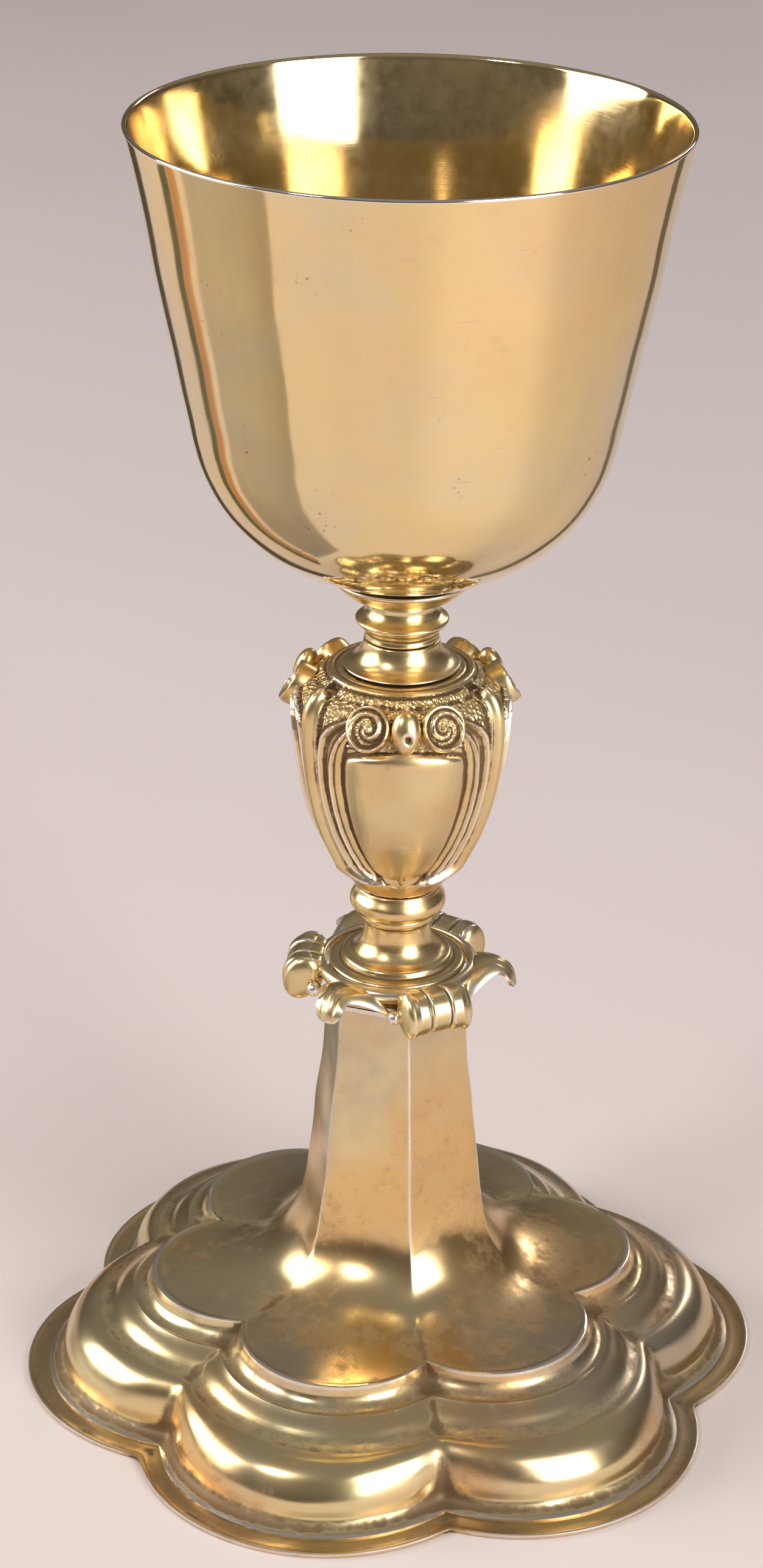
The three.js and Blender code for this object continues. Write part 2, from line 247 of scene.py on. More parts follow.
def spun(outline, steps):
    """Spins a closed outline of (radius, height) in millimetres round the cup's axis. Each vertex keeps its
    place along the outline in the layer `row`."""
    bm = bmesh.new()
    row = bm.verts.layers.float.new("row")
    ring = [bm.verts.new((point[0] * MM, 0, point[1] * MM)) for point in outline]
    for i, vertex in enumerate(ring):
        vertex[row] = i
    swept(bm, ring, (0, 0, 1), steps, closed=True)
    bmesh.ops.recalc_face_normals(bm, faces=bm.faces)
    return bm


def polar(vertex):
    """A vertex's angle round the axis, and its radius and height in millimetres."""
    x, y, z = vertex.co
    return math.atan2(y, x), math.hypot(x, y) / MM, z / MM


def place_round(vertex, turn, reach, height):
    vertex.co = (reach * math.cos(turn) * MM, reach * math.sin(turn) * MM, height * MM)


def widen(vertex, scale):
    vertex.co.x *= scale
    vertex.co.y *= scale


def smooth_step(value, low, high):
    t = min(1.0, max(0.0, (value - low) / (high - low)))
    return t * t * (3 - 2 * t)


def hexagon_reach(corner, angle):
    return corner * math.cos(SIXTH / 2) / math.cos(angle)


def lobe_reach(centre, arc, angle):
    return centre * math.cos(angle) + math.sqrt(arc**2 - (centre * math.sin(angle)) ** 2)


def from_lobe(turn, softness):
    """The angle from the nearest lobe's middle, rounded off by `softness` degrees between two lobes."""
    off = abs((turn + SIXTH / 2) % SIXTH - SIXTH / 2)
    crease = SIXTH / 2 - off
    return SIXTH / 2 - math.hypot(crease, math.radians(softness))


def weathered(data, reach, broad):
    """Marks each vertex with how far it lies in a hollow and how far it stands on an edge, from 0 to 1, by
    comparing it with its smoothed neighbourhood, `reach` millimetres being a full mark. Wide hollows count
    by `broad`."""
    count = len(data.vertices)
    place, facing = np.zeros(count * 3), np.zeros(count * 3)
    ends = np.zeros(len(data.edges) * 2, int)
    data.vertices.foreach_get("co", place)
    data.vertex_normals.foreach_get("vector", facing)
    data.edges.foreach_get("vertices", ends)
    place, facing, ends = place.reshape(-1, 3) / MM, facing.reshape(-1, 3), ends.reshape(-1, 2)
    degree = np.bincount(ends.ravel(), minlength=count)

    def averaged(values):
        near = (np.bincount(ends[:, 0], values[ends[:, 1]], count)
                + np.bincount(ends[:, 1], values[ends[:, 0]], count))
        return (values + near / degree) / 2

    def layer(name):
        values = np.zeros(count)
        if name in data.attributes:
            data.attributes[name].data.foreach_get("value", values)
        return values

    smooth, rise = place.T.copy(), {}
    for passes in range(1, 13):
        smooth = np.array([averaged(axis) for axis in smooth])
        if passes in (3, 12):
            rise[passes] = averaged(averaged(((smooth.T - place) * facing).sum(axis=1)))
    for mark, amount in (("hollow", (rise[3] + broad * rise[12]) / reach - 0.12 + layer("soil")),
                         ("edge", -rise[3] * 1.6 / reach - 0.25 + layer("rub"))):
        data.attributes.new(mark, "FLOAT", "POINT").data.foreach_set("value", np.clip(amount, 0, 1))


def piece_from(bm, name, material, reach, sharp=40, broad=0.9):
    """Turns a finished bmesh into an object at the origin."""
    data = bpy.data.meshes.new(name)
    bm.to_mesh(data)
    bm.free()
    data.shade_smooth()
    weathered(data, reach, broad)
    data.set_sharp_from_angle(angle=math.radians(sharp))
    data.materials.append(material)
    piece = bpy.data.objects.new(name, data)
    bpy.context.scene.collection.objects.link(piece)
    return piece


def wear_group():
    """Worn gilding: clouds of colour, silver edges, brown tarnish in the hollows, pits and scratches."""
    group = bpy.data.node_groups.new("worn gilding", "ShaderNodeTree")
    for name, kind, value in (("Gilt", "NodeSocketColor", (0.85, 0.66, 0.36, 1)),
                              ("Cloud", "NodeSocketColor", (0.7, 0.62, 0.5, 1)),
                              ("Warm", "NodeSocketColor", (0.85, 0.5, 0.2, 1)),
                              ("Silver", "NodeSocketColor", (0.8, 0.76, 0.72, 1)),
                              ("Tarnish", "NodeSocketColor", (0.06, 0.035, 0.018, 1)),
                              ("Silver Wear", "NodeSocketFloat", 1.0), ("Grime", "NodeSocketFloat", 1.0),
                              ("Clouding", "NodeSocketFloat", 0.5), ("Warmth", "NodeSocketFloat", 0.3),
                              ("Pits", "NodeSocketFloat", 0.3), ("Scratches", "NodeSocketFloat", 0.5),
                              ("Lines", "NodeSocketFloat", 0.5), ("Roughness", "NodeSocketFloat", 0.25),
                              ("Punching", "NodeSocketFloat", 0.0)):
        socket = group.interface.new_socket(name=name, in_out="INPUT", socket_type=kind)
        socket.default_value = value
    for name, kind in (("Color", "NodeSocketColor"), ("Metallic", "NodeSocketFloat"),
                       ("Roughness", "NodeSocketFloat"), ("Height", "NodeSocketFloat")):
        group.interface.new_socket(name=name, in_out="OUTPUT", socket_type=kind)
    given = node(group, "NodeGroupInput").outputs
    result = node(group, "NodeGroupOutput")
    place = node(group, "ShaderNodeTexCoord").outputs["Object"]

    def maths(operation, *values, clamp=False):
        return node(group, "ShaderNodeMath", dict(enumerate(values)), operation=operation,
                    use_clamp=clamp).outputs[0]

    def times(*values, clamp=False):
        return maths("MULTIPLY", *values, clamp=clamp)

    def plus(*values):
        return maths("ADD", *values)

    def centred(value):
        return maths("SUBTRACT", value, 0.5)

    def span(value, low, high, to_low=0.0, to_high=1.0):
        return node(group, "ShaderNodeMapRange", {0: value, 1: low, 2: high, 3: to_low, 4: to_high},
                    interpolation_type="SMOOTHSTEP").outputs[0]

    def cloud(scale, detail, rough=0.55, shift=(0, 0, 0), stretch=(1, 1, 1)):
        moved = node(group, "ShaderNodeMapping", {"Vector": place, "Location": shift, "Scale": stretch})
        return node(group, "ShaderNodeTexNoise", {"Vector": moved.outputs[0], "Scale": scale,
                                                  "Detail": detail, "Roughness": rough}).outputs["Fac"]

    def blend(amount, first, second):
        return node(group, "ShaderNodeMix", {0: amount, 6: first, 7: second}, data_type="RGBA").outputs[2]

    hollow = node(group, "ShaderNodeAttribute", attribute_name="hollow").outputs["Fac"]
    edge = node(group, "ShaderNodeAttribute", attribute_name="edge").outputs["Fac"]
    punched = node(group, "ShaderNodeAttribute", attribute_name="punched").outputs["Fac"]
    broad = cloud(30.0, 4.0)
    broad_two = cloud(22.0, 4.0, shift=(3.1, 1.7, 0.4))
    fine = cloud(420.0, 4.0, 0.65)
    mid = cloud(110.0, 4.0, 0.6, shift=(0.7, 2.2, 5.0))

    clouding = times(span(plus(broad, times(mid, 0.35)), 0.56, 0.86), given["Clouding"])
    warming = times(span(plus(broad_two, times(mid, 0.3)), 0.58, 0.84), given["Warmth"])
    worn = span(plus(edge, times(centred(fine), 0.5)), 0.22, 0.75)
    worn = times(worn, given["Silver Wear"], clamp=True)
    patchy = plus(times(centred(mid), 0.9), times(centred(broad_two), 0.8))
    patchy = plus(patchy, times(centred(fine), 0.9))
    dirty = span(plus(times(hollow, 1.25), patchy), 0.13, 0.75)
    dirty = plus(dirty, times(times(punched, span(fine, 0.42, 0.6)), 0.5))
    dirty = times(dirty, given["Grime"], clamp=True)

    pit_place = node(group, "ShaderNodeTexVoronoi", {"Vector": place, "Scale": 620.0, "Randomness": 1.0})
    pit = span(pit_place.outputs["Distance"], 0.10, 0.24, 1.0, 0.0)
    pit = times(pit, span(plus(mid, times(broad, 0.8)), 1.0, 1.15))
    pit = times(pit, given["Pits"], clamp=True)

    scratch = None
    for turn, stretch, scale in (((0.25, 0.1, 0.2), (0.12, 1, 3.2), 300),
                                 ((0.5, 0.75, 1.1), (0.1, 0.9, 3.4), 260),
                                 ((0.1, -0.35, 2.2), (0.08, 1, 3.0), 340),
                                 ((1.2, 0.4, 0.7), (0.14, 1, 2.6), 240)):
        moved = node(group, "ShaderNodeMapping",
                     {"Vector": place, "Rotation": turn, "Scale": stretch}).outputs[0]
        dash = node(group, "ShaderNodeTexVoronoi",
                    {"Vector": moved, "Scale": float(scale)}).outputs["Distance"]
        dash = span(dash, 0.025, 0.075, 1.0, 0.0)
        scratch = dash if scratch is None else maths("MAXIMUM", scratch, dash)
    scratch = times(times(scratch, span(mid, 0.42, 0.6)), given["Scratches"], clamp=True)
    lines = cloud(60.0, 3.0, 0.7, stretch=(0.35, 0.35, 26.0))
    lines = times(centred(lines), given["Lines"])
    beads = node(group, "ShaderNodeTexVoronoi", {"Vector": place, "Scale": 1500.0}).outputs["Distance"]
    beads = times(times(beads, punched), given["Punching"])

    colour = blend(clouding, given["Gilt"], given["Cloud"])
    colour = blend(warming, colour, given["Warm"])
    colour = blend(worn, colour, given["Silver"])
    colour = blend(times(scratch, 0.5), colour, (0.30, 0.22, 0.24, 1))
    colour = blend(maths("MAXIMUM", dirty, times(pit, 0.8)), colour, given["Tarnish"])
    uneven = plus(times(centred(mid), 0.7), times(lines, 0.8))
    shine = times(given["Roughness"], plus(uneven, 1.0))
    shine = plus(shine, times(dirty, 0.3))
    shine = plus(shine, times(clouding, 0.07))
    height = plus(times(fine, 0.07), times(mid, 0.12))
    height = plus(height, times(lines, 0.5))
    height = maths("SUBTRACT", height, times(scratch, 0.12))
    height = maths("SUBTRACT", height, times(pit, 0.5))
    height = plus(height, times(beads, 3.2))
    group.links.new(colour, result.inputs["Color"])
    group.links.new(maths("SUBTRACT", 1.0, times(dirty, 0.55), clamp=True), result.inputs["Metallic"])
    group.links.new(maths("MAXIMUM", shine, 0.04), result.inputs["Roughness"])
    group.links.new(height, result.inputs["Height"])
    return group


worn_gilding = wear_group()


def metal(name, depth, **values):
    """A worn metal: the group's values by name, and the depth of its relief in millimetres."""
    material = bpy.data.materials.new(name)
    material.use_nodes = True
    tree = material.node_tree
    wear = node(tree, "ShaderNodeGroup", node_tree=worn_gilding)
    for key, value in values.items():
        wear.inputs[key.replace("_", " ")].default_value = value
    surface = tree.nodes["Principled BSDF"]
    relief = node(tree, "ShaderNodeBump", {"Height": wear.outputs["Height"], "Distance": depth * MM})
    for output, socket in ((wear.outputs["Color"], "Base Color"), (wear.outputs["Metallic"], "Metallic"),
                           (wear.outputs["Roughness"], "Roughness"), (relief.outputs[0], "Normal")):
        tree.links.new(output, surface.inputs[socket])
    return material


foot_gilding = metal(
    "worn foot gilding", 0.05, Gilt=(0.82, 0.68, 0.38, 1), Cloud=(0.54, 0.46, 0.36, 1),
    Warm=(0.86, 0.52, 0.2, 1), Silver=(0.86, 0.80, 0.72, 1), Tarnish=(0.13, 0.075, 0.032, 1),
    Silver_Wear=0.9, Grime=0.9, Clouding=0.85, Warmth=0.7, Pits=0.3, Scratches=0.6, Lines=0.08,
    Roughness=0.22)

# Each row: height, the hexagon's corner radius, a lobe's centre and the radius of its arc, how far the
# hexagon has turned into lobes, and the softness of the crease in degrees. On the stem the lobe is the
# platform's.
LOBE = (27.0, 18.2)
foot_rows = [
    (STEM_TOP, 13.2, *LOBE, 0, 0.6), (72, 13.45, *LOBE, 0, 0.6), (67, 13.8, *LOBE, 0, 0.6),
    (59, 14.7, *LOBE, 0, 0.6), (51, 15.7, *LOBE, 0, 0.6), (44, 16.35, *LOBE, 0, 0.6),
    (38, 16.95, *LOBE, 0.008, 0.6), (34, 17.3, *LOBE, 0.026, 0.7), (31, 17.6, *LOBE, 0.052, 0.8),
    (28.5, 17.95, *LOBE, 0.088, 0.8), (26.4, 18.3, *LOBE, 0.135, 0.9), (24.7, 18.6, *LOBE, 0.19, 0.9),
    (23.3, 18.85, *LOBE, 0.26, 0.9), (22.2, 19.1, *LOBE, 0.34, 0.9), (21.3, 19.3, *LOBE, 0.44, 0.9),
    (20.65, 19.4, *LOBE, 0.55, 0.9), (20.2, 19.4, *LOBE, 0.66, 0.8), (19.95, 19.4, *LOBE, 0.77, 0.6),
    (19.8, 19.4, *LOBE, 0.87, 0.4), (19.72, 19.4, *LOBE, 0.955, 0.3), (19.95, 19.4, *LOBE, 0.985, 0.2),
    (19.8, 19.4, *LOBE, 1, 0.2), (19.0, 19.4, 27, 18.3, 1, 0.2), (17.6, 19.4, 26.8, 18.8, 1, 0.2),
    (16.4, 19.4, 26.7, 20.1, 1, 0.2), (15.95, 19.4, 26.7, 21.4, 1, 0.2), (16.1, 19.4, 26.6, 22.1, 1, 0.2),
    (15.7, 19.4, 26.6, 22.6, 1, 0.2), (14.6, 19.4, 26.4, 24.6, 1, 0.3), (13.3, 19.4, 26.1, 26.4, 1, 0.4),
    (12.55, 19.4, 26.1, 28.2, 1, 0.5), None, (12.3, 19.4, 27.8, 28.5, 1, 0.8),
    (11.7, 19.4, 29.3, 28.4, 1, 1.1), (10.5, 19.4, 31.0, 28.3, 1, 1.4), (8.6, 19.4, 32.5, 28.2, 1, 1.5),
    (6.5, 19.4, 33.6, 28.1, 1, 1.5), (4.6, 19.4, 34.05, 27.95, 1, 1.3), (3.2, 19.4, 34.25, 27.95, 1, 1.0),
    (2.2, 19.4, 34.4, 28.6, 1, 0.7), (1.5, 19.4, 34.5, 29.8, 1, 0.5), (1.3, 19.4, 34.5, 30.2, 1, 0.4),
]


def foot_reach(row, turn):
    """The foot's radius in millimetres along one row, at one angle round the axis."""
    _, corner, centre, arc, lobed, softness = row
    angle = from_lobe(turn, softness)
    return (1 - lobed) * hexagon_reach(corner, angle) + lobed * lobe_reach(centre, arc, angle)


def middle_first(row):
    return None if row is None else (foot_reach((*row[:5], 0), 0), *row)


foot_line = [row[1:] for row in curve_through([middle_first(row) for row in foot_rows], 0.62)]
foot_inside = foot_line[:2] + foot_line[5:-3:4] + foot_line[-2:]
foot_count = len(foot_line)
foot_bm = spun([(foot_reach(row, 0), row[0]) for row in foot_line]
               + [(foot_reach(row, 0) - SHEET, row[0] - 0.1) for row in reversed(foot_inside)], FOOT_STEPS)
row_layer = foot_bm.verts.layers.float["row"]
soil = foot_bm.verts.layers.float.new("soil")
rub = foot_bm.verts.layers.float.new("rub")
for vertex in foot_bm.verts:
    turn, _, _ = polar(vertex)
    index = round(vertex[row_layer])
    if index < foot_count:
        row = foot_line[index]
        reach, height = foot_reach(row, turn), row[0]
    else:
        place = len(foot_inside) - 1 - (index - foot_count)
        row = foot_inside[place]
        above = foot_inside[max(0, place - 1)]
        below = foot_inside[min(len(foot_inside) - 1, place + 1)]
        run = foot_reach(below, turn) - foot_reach(above, turn)
        fall = above[0] - below[0]
        slope = math.hypot(run, fall) or 1
        reach = foot_reach(row, turn) - SHEET * fall / slope
        height = row[0] - SHEET * run / slope
    hand = noise.noise(Vector((math.cos(turn) * reach, math.sin(turn) * reach, height * 1.4)) * 0.075)
    free = min(1.0, max(0.0, (height - BRIM) / 4)) * min(1.0, max(0.0, (STEM_TOP - height) / 6))
    reach += 0.28 * hand * free
    height += 0.16 * hand * free
    place_round(vertex, turn, reach, height)
    crease = 1 - min(1.0, abs(SIXTH / 2 - from_lobe(turn, 0)) / math.radians(7))
    around_edge = max(0.0, 1 - (height - BRIM) / 1.8) * 0.9
    low_crease = crease * (0.5 * max(0.0, 1 - abs(height - 3) / 6) + 0.55
                           * max(0.0, 1 - abs(height - 17) / 5))
    step_foot = 0.3 * max(0.0, 1 - abs(height - 12.6) / 1.0)
    stem_foot = 0.28 * max(0.0, 1 - abs(height - 21) / 3.5)
    vertex[soil] = around_edge + low_crease + step_foot + stem_foot
    ridge = abs(SIXTH / 2 - from_lobe(turn, 0)) * reach
    vertex[rub] = 0.65 * max(0.0, 1 - ridge / 0.9) * smooth_step(height, 20.5, 24)
bmesh.ops.recalc_face_normals(foot_bm, faces=foot_bm.faces)
foot_shell = piece_from(foot_bm, "raised_foot_and_stem", foot_gilding, reach=0.16, broad=0.12)
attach(foot_shell, "foot")
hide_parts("foot_shell")

# The flange: a flat six-lobed band sawn from sheet and soldered under the shell, which the cup stands on.
# Its edge is turned up into a thin lip, and tarnish has darkened it where cloths never reach.
FLANGE_OUT, FLANGE_HOLE = (34.6, 34.2), (33.5, 25.0)
BAND_IN, BAND_WIDE = 58.5, 10.3
BAND_MIDDLE = 0.5
flange_gilding = metal(
    "tarnished flange", 0.06, Gilt=(0.70, 0.52, 0.27, 1), Cloud=(0.40, 0.31, 0.22, 1),
    Warm=(0.55, 0.33, 0.14, 1), Silver=(0.84, 0.78, 0.70, 1), Tarnish=(0.09, 0.055, 0.028, 1),
    Silver_Wear=1.0, Grime=0.9, Clouding=0.9, Warmth=0.6, Pits=1.0, Scratches=0.4, Lines=0.1,
    Roughness=0.34)
flange_line = closed_outline([
    (BAND_IN, 0.0), None, (68.5, 0.0), None, (68.8, 0.35), None, (68.75, 1.0), (68.5, 1.12), (68.1, 1.0),
    (67.6, 0.82), (66.6, 0.8), (65.4, 0.95), None, (BAND_IN, 0.95)], 0.28, 1)
flange_bm = spun(flange_line, FOOT_STEPS)
soil = flange_bm.verts.layers.float.new("soil")
for vertex in flange_bm.verts:
    turn, reach, height = polar(vertex)
    out = (reach - BAND_IN) / BAND_WIDE
    angle = from_lobe(turn, 0.25 + 0.5 * out)
    reach = (1 - out) * lobe_reach(*FLANGE_HOLE, angle) + out * lobe_reach(*FLANGE_OUT, angle)
    if height > BAND_MIDDLE:
        vertex[soil] = 0.42 * (1 - smooth_step(out, 0.5, 0.97))
        height += 0.1 * noise.noise(Vector((math.cos(turn), math.sin(turn), 0)) * 4)
    place_round(vertex, turn, reach, height)
flange = piece_from(flange_bm, "foot_flange_band", flange_gilding, reach=0.12)
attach(flange, "foot")
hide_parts("foot_flange")

# The stem plate: a hexagon of sheet that closes the top of the stem, with a hole for the rod. It is hidden
# under the leaf crown, and the nut pulls against its underside.
BORE = 3.35
plate_bm = spun(closed_outline([
    (BORE, 77.9), None, (13.6, 77.9), None, (13.6, 79.1), None, (BORE, 79.1)], 0.3, 1), 96)
for vertex in plate_bm.verts:
    turn, reach, _ = polar(vertex)
    square = min(1.0, max(0.0, (reach - 7) / 6))
    widen(vertex, 1 + square * (hexagon_reach(1, from_lobe(turn, 0.6)) - 1))
plate = piece_from(plate_bm, "stem_top_plate", foot_gilding, reach=0.15)
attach(plate, "foot")
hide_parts("stem_plate")

# The leaf crown: a cast ring with three rolled scrolls and three drooping leaves, chased after casting and
# pinned by the stack above it. Its edges are rubbed to silver and its grooves are dark.
cast_gilding = metal(
    "chased cast gilding", 0.07, Gilt=(0.81, 0.655, 0.34, 1), Cloud=(0.62, 0.50, 0.34, 1),
    Warm=(0.80, 0.43, 0.13, 1), Silver=(0.88, 0.82, 0.76, 1), Tarnish=(0.13, 0.072, 0.028, 1),
    Silver_Wear=1.0, Grime=0.95, Clouding=0.5, Warmth=0.45, Pits=0.4, Scratches=0.3, Lines=0.1,
    Roughness=0.28, Punching=1.5)
SCROLL_TURNS = [math.radians(-76.0 + 120 * k) for k in range(3)]
LEAF_TURNS = [math.radians(-135.5 + 120 * k) for k in range(3)]
ROLL_REACH, ROLL_HEIGHT = 16.6, 80.5
STRAP_HALF, STRAP_STEPS = 5.1, 34
STRAP_GROOVE, GROOVE_HALF = 1.87, 0.26
BALL_RADIUS = 1.4
LEAF_ROWS, LEAF_COLUMNS = 40, 22
LEAF_THICKNESS = 0.75


def gathered(target, source, matrix):
    """Adds one bmesh to another, moved by a matrix, and frees it."""
    bmesh.ops.transform(source, matrix=matrix, verts=source.verts)
    data = bpy.data.meshes.new("part")
    source.to_mesh(data)
    source.free()
    target.from_mesh(data)
    bpy.data.meshes.remove(data)


def around(turn):
    """Turns a part made with its outward side along +X to stand at an angle round the axis."""
    return Matrix.Rotation(turn, 4, "Z")


def roll():
    """One rolled scroll lying along Y, its two ends closed by pointed-oval discs."""
    half = [(0.01, -6.6), (1.2, -6.55), (2.4, -6.3), (3.2, -5.9), (3.6, -5.4), (3.7, -4.8), (3.7, -3.6),
            (3.65, -2.5), (3.55, -2.2), None, (3.2, -2.0), (3.2, -1.75), None, (3.5, -1.55), (3.55, 0.0)]
    mirrored = [None if p is None else (p[0], -p[1]) for p in reversed(half)]
    bm = bmesh.new()
    line = [bm.verts.new((0, y * MM, r * MM)) for r, y in curve_through(half + mirrored[1:], 0.25)]
    swept(bm, line, (0, 1, 0), 48, merge=0.02 * MM)
    bmesh.ops.recalc_face_normals(bm, faces=bm.faces)
    for vertex in bm.verts:
        disc = smooth_step(abs(vertex.co.y) / MM, 4.0, 5.0)
        vertex.co.z *= 1.08 + 0.06 * disc
        vertex.co.x *= 1 - 0.08 * disc
        vertex.co.x -= 0.16 * vertex.co.z * disc
    return bm


def strap():
    """The strap that springs from the ring and laps over a roll, with two grooves along it."""
    bm = bmesh.new()
    section = closed_outline([(12.9, 80.5), None, (12.9, 82.8), (13.3, 83.6), (14.4, 84.0), (15.6, 84.15),
                              (16.8, 84.1), (17.8, 83.8), None, (16.4, 80.5)], 0.3, 0)
    face = bm.faces.new([bm.verts.new((x * MM, -STRAP_HALF * MM, z * MM)) for x, z in section])
    for step in range(STRAP_STEPS):
        grown = bmesh.ops.extrude_face_region(bm, geom=[face])["geom"]
        bmesh.ops.translate(bm, vec=(0, 2 * STRAP_HALF / STRAP_STEPS * MM, 0),
                            verts=[g for g in grown if isinstance(g, bmesh.types.BMVert)])
        old, face = face, [g for g in grown if isinstance(g, bmesh.types.BMFace)][0]
        if step:
            bm.faces.remove(old)
    bmesh.ops.recalc_face_normals(bm, faces=bm.faces)
    for vertex in bm.verts:
        across = abs(vertex.co.y) / MM
        groove = math.exp(-((across - STRAP_GROOVE) / GROOVE_HALF) ** 2)
        inward = Vector((16.4 * MM - vertex.co.x, 0, 80.6 * MM - vertex.co.z)).normalized()
        vertex.co += inward * (0.42 * groove + 0.5 * smooth_step(across, 4.3, 5.1)) * MM
    return bm


leaf_rise = curve_through([(12.95, 82.6), (13.6, 83.3), (15.0, 83.9), (16.8, 84.2), (18.6, 83.9),
                           (20.2, 82.8), (21.3, 81.2), (21.8, 79.3)], 0.05)


def leaf():
    """One drooping leaf: a sheet that rises from the ring, bends over along `leaf_rise` and narrows."""
    bm = bmesh.new()
    bmesh.ops.create_grid(bm, x_segments=LEAF_ROWS, y_segments=LEAF_COLUMNS, size=0.5)
    for vertex in bm.verts:
        along, across = vertex.co.x + 0.5, vertex.co.y * 2
        spot = along * (len(leaf_rise) - 1)
        low = min(int(spot), len(leaf_rise) - 2)
        x, z = (a + (b - a) * (spot - low) for a, b in zip(leaf_rise[low], leaf_rise[low + 1]))
        tip = max(0.0, (along - 0.72) / 0.28)
        width = (8.2 - 5.5 * smooth_step(along, 0.0, 0.62)) * math.sqrt(max(0.0, 1 - tip**2.6)) + 0.2
        droop = 3.4 * abs(across) ** 2.6 * (1 - smooth_step(along, 0.05, 0.75)) + 0.5 * across**2
        rib = 0.22 * math.exp(-((abs(across) - 0.4) / 0.12) ** 2) * math.sin(math.pi * along)
        curl = 0.075 * math.sin(5 * along + 2 * across)
        vertex.co = ((x - 0.3 * across**2 - rib) * MM, across * width * MM, (z - droop - rib + curl) * MM)
    bmesh.ops.recalc_face_normals(bm, faces=bm.faces)
    bmesh.ops.solidify(bm, geom=bm.faces[:], thickness=LEAF_THICKNESS * MM)
    bmesh.ops.recalc_face_normals(bm, faces=bm.faces)
    return bm


crown_bm = spun(closed_outline([
    (12.8, 80.9), None, (13.9, 80.9), (14.4, 81.6), (14.7, 82.5), (14.2, 83.3), (13.6, 83.6), None,
    (12.9, 83.6)], 0.3, 2), 144)
for turn in SCROLL_TURNS:
    gathered(crown_bm, roll(), around(turn) @ Matrix.Translation((ROLL_REACH * MM, 0, ROLL_HEIGHT * MM)))
    gathered(crown_bm, strap(), around(turn))
    for side in (-1, 1):
        ball_bm = bmesh.new()
        bmesh.ops.create_uvsphere(ball_bm, u_segments=24, v_segments=14, radius=BALL_RADIUS * MM)
        ball_place = Vector((14.2, side * 6.75, 79.2)) * MM
        gathered(crown_bm, ball_bm, around(turn) @ Matrix.Translation(ball_place))
for turn in LEAF_TURNS:
    gathered(crown_bm, leaf(), around(turn))
crown = piece_from(crown_bm, "leaf_and_scroll_crown", cast_gilding, reach=0.09, sharp=50)
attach(crown, "foot")
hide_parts("leaf_crown")

# The lower spool: turned from a casting, with a two-step disc that sits in the leaf crown and a waist that
# flares up to a lip under the ring.
turned_gilding = metal(
    "turned cast gilding", 0.035, Gilt=(0.81, 0.65, 0.33, 1), Cloud=(0.66, 0.52, 0.34, 1),
    Warm=(0.82, 0.45, 0.14, 1), Silver=(0.88, 0.83, 0.77, 1), Tarnish=(0.11, 0.06, 0.024, 1),
    Silver_Wear=0.9, Grime=0.95, Clouding=0.45, Warmth=0.35, Pits=0.5, Scratches=0.5, Lines=0.7,
    Roughness=0.25)
TURNED_STEPS = 144


def turned(name, points, node_name, body, material, rounds=2, steps=TURNED_STEPS):
    """A turned piece from its outline of (radius, height) in millimetres, standing in for its CAD node."""
    piece = piece_from(spun(closed_outline(points, 0.2, rounds), steps), name, material, 0.07)
    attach(piece, body)
    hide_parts(node_name)


turned("lower_spool", [
    (BORE, 79.4), None, (9.2, 79.4), None, (9.2, 82.1), None, (11.9, 82.1), None, (12.25, 82.5),
    (12.2, 83.3), (11.7, 83.65), None, (10.1, 83.7), None, (10.0, 84.3), (9.75, 84.85), (9.3, 85.05), None,
    (8.6, 85.15), (7.9, 85.55), (7.1, 86.4), (6.4, 87.6), (6.05, 89.0), (5.95, 90.8), (6.1, 91.6), None,
    (6.5, 91.75), (6.62, 92.3), (6.5, 93.1), None, (BORE, 93.1),
], "lower_spool", "lower_spool", turned_gilding)

# The lower ring: a rounded turned ring between the spool and the vase.
turned("lower_ring", [
    (BORE, 93.4), None, (6.7, 93.4), None, (7.4, 93.5), (8.1, 94.0), (8.55, 94.7), None, (8.6, 95.3),
    (8.45, 96.2), (8.0, 97.0), (7.6, 97.7), (7.45, 98.3), None, (BORE, 98.3),
], "lower_ring", "lower_ring", turned_gilding)

# The knop: a hollow vase cast in one and chased all over. Three smooth egg-shaped panels are framed by
# swept bands, each under a pair of volutes and a bud, with a proud rounded strap between panels. The
# ground is punched, the grooves are dark, and the high places are rubbed to silver.
KNOP_TURN = math.radians(-97.5)
THIRD = 120.0
PANEL, LAST = 34.5, 60.0
FRAME_TOP = 130.0
knop_outside = softened(curve_through([
    (7.7, 98.7), (8.3, 99.3), (9.2, 100.6), (10.9, 102.8), (13.1, 106.6), (15.9, 112.8), (17.9, 119.8),
    (19.0, 126.9), (19.35, 132.6), (18.95, 135.8), (17.8, 138.0), (16.0, 139.2), (14.3, 139.75), None,
    (13.1, 139.85), (12.95, 140.1), (12.6, 140.4), (12.0, 140.5), None, (11.6, 140.2), (11.3, 140.2), None,
    (11.1, 140.5), (8.5, 140.5),
], 0.24), 1, closed=False)
knop_inside = curve_through([(8.5, 139.3), (13.5, 137.5), (16.6, 134.2), (17.0, 127.5), (15.4, 119.5),
                             (13.2, 113.0), (10.4, 107.0), (7.0, 102.0), (5.6, 98.7)], 2.2)
HALF_COLUMNS = 70
PANEL_COLUMNS = 26
